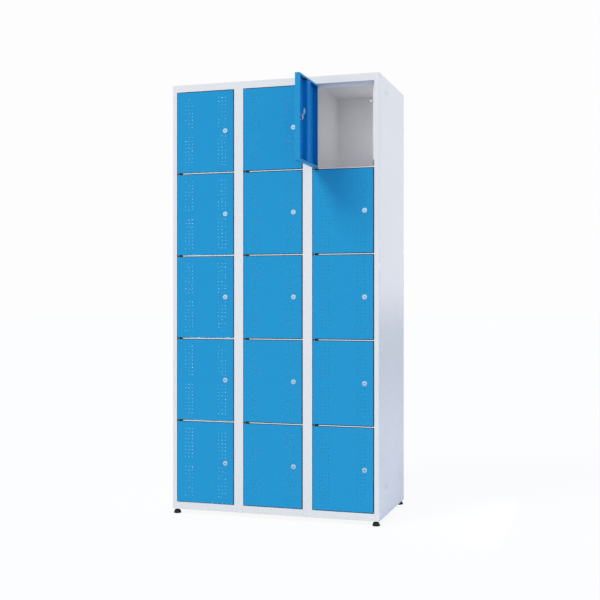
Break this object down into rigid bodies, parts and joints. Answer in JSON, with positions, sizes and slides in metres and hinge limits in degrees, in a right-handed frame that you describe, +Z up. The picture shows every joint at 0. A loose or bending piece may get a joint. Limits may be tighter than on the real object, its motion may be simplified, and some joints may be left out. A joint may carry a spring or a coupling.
{
  "type": "deposit cabinet",
  "caption": "Free-standing steel deposit cabinet: columns of small lockers with flush perforated doors, each hung on two short hinge rods and closed by a cam lock.",
  "frame": {"origin": "on the outer face of the back panel, at the middle of its bottom edge", "axes": "+X to the right seen from the front, +Y out of the back panel towards the wall, +Z up"},
  "size_m": [0.9, 0.7335, 1.82],
  "materials": {
    "body_paint": "light grey satin powder coat",
    "door_paint": "light blue satin powder coat",
    "lock_metal": "satin nickel plated zinc",
    "zinc_steel": "zinc plated bright steel rod",
    "black_plastic": "black moulded plastic",
    "foot_plastic": "black moulded plastic, scuffed",
    "black_rubber": "black rubber"
  },
  "bodies": {
    "cabinet": {"back_panel": "body_paint", "bottom_panel": "body_paint", "top_panel": "body_paint", "left_side_panel": "body_paint", "right_side_panel": "body_paint", "stile_ab": "body_paint", "stile_bc": "body_paint", "partition_ab": "body_paint", "partition_bc": "body_paint", "foot_plates": "body_paint", "hinge_rods": "zinc_steel", "hinge_blocks": "black_plastic", "door_buffers": "black_rubber", "feet": "foot_plastic", "shelf_a1": "body_paint", "shelf_a2": "body_paint", "shelf_a3": "body_paint", "shelf_a4": "body_paint", "shelf_b1": "body_paint", "shelf_b2": "body_paint", "shelf_b3": "body_paint", "shelf_b4": "body_paint", "shelf_c1": "body_paint", "shelf_c2": "body_paint", "shelf_c3": "body_paint", "shelf_c4": "body_paint"},
    "door_a1": {"door_a1": "door_paint"},
    "lock_a1": {"lock_a1": "lock_metal"},
    "door_b1": {"door_b1": "door_paint"},
    "lock_b1": {"lock_b1": "lock_metal"},
    "door_c1": {"door_c1": "door_paint"},
    "lock_c1": {"lock_c1": "lock_metal"},
    "door_a2": {"door_a2": "door_paint"},
    "lock_a2": {"lock_a2": "lock_metal"},
    "door_b2": {"door_b2": "door_paint"},
    "lock_b2": {"lock_b2": "lock_metal"},
    "door_c2": {"door_c2": "door_paint"},
    "lock_c2": {"lock_c2": "lock_metal"},
    "door_a3": {"door_a3": "door_paint"},
    "lock_a3": {"lock_a3": "lock_metal"},
    "door_b3": {"door_b3": "door_paint"},
    "lock_b3": {"lock_b3": "lock_metal"},
    "door_c3": {"door_c3": "door_paint"},
    "lock_c3": {"lock_c3": "lock_metal"},
    "door_a4": {"door_a4": "door_paint"},
    "lock_a4": {"lock_a4": "lock_metal"},
    "door_b4": {"door_b4": "door_paint"},
    "lock_b4": {"lock_b4": "lock_metal"},
    "door_c4": {"door_c4": "door_paint"},
    "lock_c4": {"lock_c4": "lock_metal"},
    "door_a5": {"door_a5": "door_paint"},
    "lock_a5": {"lock_a5": "lock_metal"},
    "door_b5": {"door_b5": "door_paint"},
    "lock_b5": {"lock_b5": "lock_metal"},
    "door_c5": {"door_c5": "door_paint"},
    "lock_c5": {"lock_c5": "lock_metal"}
  },
  "joints": [
    {"name": "door_a1_swing", "type": "hinge", "parent": "cabinet", "child": "door_a1", "pos_m": [-0.4225, -0.485, 1.5972], "axis": [0, 0, -1], "range_deg": [0, 110]},
    {"name": "door_b1_swing", "type": "hinge", "parent": "cabinet", "child": "door_b1", "pos_m": [-0.1225, -0.485, 1.5972], "axis": [0, 0, -1], "range_deg": [0, 110]},
    {"name": "door_c1_swing", "type": "hinge", "parent": "cabinet", "child": "door_c1", "pos_m": [0.1775, -0.485, 1.5972], "axis": [0, 0, -1], "range_deg": [-90, 20]},
    {"name": "door_a2_swing", "type": "hinge", "parent": "cabinet", "child": "door_a2", "pos_m": [-0.4225, -0.485, 1.2486], "axis": [0, 0, -1], "range_deg": [0, 110]},
    {"name": "door_b2_swing", "type": "hinge", "parent": "cabinet", "child": "door_b2", "pos_m": [-0.1225, -0.485, 1.2486], "axis": [0, 0, -1], "range_deg": [0, 110]},
    {"name": "door_c2_swing", "type": "hinge", "parent": "cabinet", "child": "door_c2", "pos_m": [0.1775, -0.485, 1.2486], "axis": [0, 0, -1], "range_deg": [0, 110]},
    {"name": "door_a3_swing", "type": "hinge", "parent": "cabinet", "child": "door_a3", "pos_m": [-0.4225, -0.485, 0.9], "axis": [0, 0, -1], "range_deg": [0, 110]},
    {"name": "door_b3_swing", "type": "hinge", "parent": "cabinet", "child": "door_b3", "pos_m": [-0.1225, -0.485, 0.9], "axis": [0, 0, -1], "range_deg": [0, 110]},
    {"name": "door_c3_swing", "type": "hinge", "parent": "cabinet", "child": "door_c3", "pos_m": [0.1775, -0.485, 0.9], "axis": [0, 0, -1], "range_deg": [0, 110]},
    {"name": "door_a4_swing", "type": "hinge", "parent": "cabinet", "child": "door_a4", "pos_m": [-0.4225, -0.485, 0.5514], "axis": [0, 0, -1], "range_deg": [0, 110]},
    {"name": "door_b4_swing", "type": "hinge", "parent": "cabinet", "child": "door_b4", "pos_m": [-0.1225, -0.485, 0.5514], "axis": [0, 0, -1], "range_deg": [0, 110]},
    {"name": "door_c4_swing", "type": "hinge", "parent": "cabinet", "child": "door_c4", "pos_m": [0.1775, -0.485, 0.5514], "axis": [0, 0, -1], "range_deg": [0, 110]},
    {"name": "door_a5_swing", "type": "hinge", "parent": "cabinet", "child": "door_a5", "pos_m": [-0.4225, -0.485, 0.2028], "axis": [0, 0, -1], "range_deg": [0, 110]},
    {"name": "door_b5_swing", "type": "hinge", "parent": "cabinet", "child": "door_b5", "pos_m": [-0.1225, -0.485, 0.2028], "axis": [0, 0, -1], "range_deg": [0, 110]},
    {"name": "door_c5_swing", "type": "hinge", "parent": "cabinet", "child": "door_c5", "pos_m": [0.1775, -0.485, 0.2028], "axis": [0, 0, -1], "range_deg": [0, 110]},
    {"name": "lock_a1_turn", "type": "hinge", "parent": "door_a1", "child": "lock_a1", "pos_m": [-0.21, -0.485, 1.5972], "axis": [0, 1, 0], "range_deg": [0, 90]},
    {"name": "lock_b1_turn", "type": "hinge", "parent": "door_b1", "child": "lock_b1", "pos_m": [0.09, -0.485, 1.5972], "axis": [0, 1, 0], "range_deg": [0, 90]},
    {"name": "lock_c1_turn", "type": "hinge", "parent": "door_c1", "child": "lock_c1", "pos_m": [0.1775, -0.6975, 1.5972], "axis": [1, 0, 0], "range_deg": [0, 90]},
    {"name": "lock_a2_turn", "type": "hinge", "parent": "door_a2", "child": "lock_a2", "pos_m": [-0.21, -0.485, 1.2486], "axis": [0, 1, 0], "range_deg": [0, 90]},
    {"name": "lock_b2_turn", "type": "hinge", "parent": "door_b2", "child": "lock_b2", "pos_m": [0.09, -0.485, 1.2486], "axis": [0, 1, 0], "range_deg": [0, 90]},
    {"name": "lock_c2_turn", "type": "hinge", "parent": "door_c2", "child": "lock_c2", "pos_m": [0.39, -0.485, 1.2486], "axis": [0, 1, 0], "range_deg": [0, 90]},
    {"name": "lock_a3_turn", "type": "hinge", "parent": "door_a3", "child": "lock_a3", "pos_m": [-0.21, -0.485, 0.9], "axis": [0, 1, 0], "range_deg": [0, 90]},
    {"name": "lock_b3_turn", "type": "hinge", "parent": "door_b3", "child": "lock_b3", "pos_m": [0.09, -0.485, 0.9], "axis": [0, 1, 0], "range_deg": [0, 90]},
    {"name": "lock_c3_turn", "type": "hinge", "parent": "door_c3", "child": "lock_c3", "pos_m": [0.39, -0.485, 0.9], "axis": [0, 1, 0], "range_deg": [0, 90]},
    {"name": "lock_a4_turn", "type": "hinge", "parent": "door_a4", "child": "lock_a4", "pos_m": [-0.21, -0.485, 0.5514], "axis": [0, 1, 0], "range_deg": [0, 90]},
    {"name": "lock_b4_turn", "type": "hinge", "parent": "door_b4", "child": "lock_b4", "pos_m": [0.09, -0.485, 0.5514], "axis": [0, 1, 0], "range_deg": [0, 90]},
    {"name": "lock_c4_turn", "type": "hinge", "parent": "door_c4", "child": "lock_c4", "pos_m": [0.39, -0.485, 0.5514], "axis": [0, 1, 0], "range_deg": [0, 90]},
    {"name": "lock_a5_turn", "type": "hinge", "parent": "door_a5", "child": "lock_a5", "pos_m": [-0.21, -0.485, 0.2028], "axis": [0, 1, 0], "range_deg": [0, 90]},
    {"name": "lock_b5_turn", "type": "hinge", "parent": "door_b5", "child": "lock_b5", "pos_m": [0.09, -0.485, 0.2028], "axis": [0, 1, 0], "range_deg": [0, 90]},
    {"name": "lock_c5_turn", "type": "hinge", "parent": "door_c5", "child": "lock_c5", "pos_m": [0.39, -0.485, 0.2028], "axis": [0, 1, 0], "range_deg": [0, 90]}
  ]
}
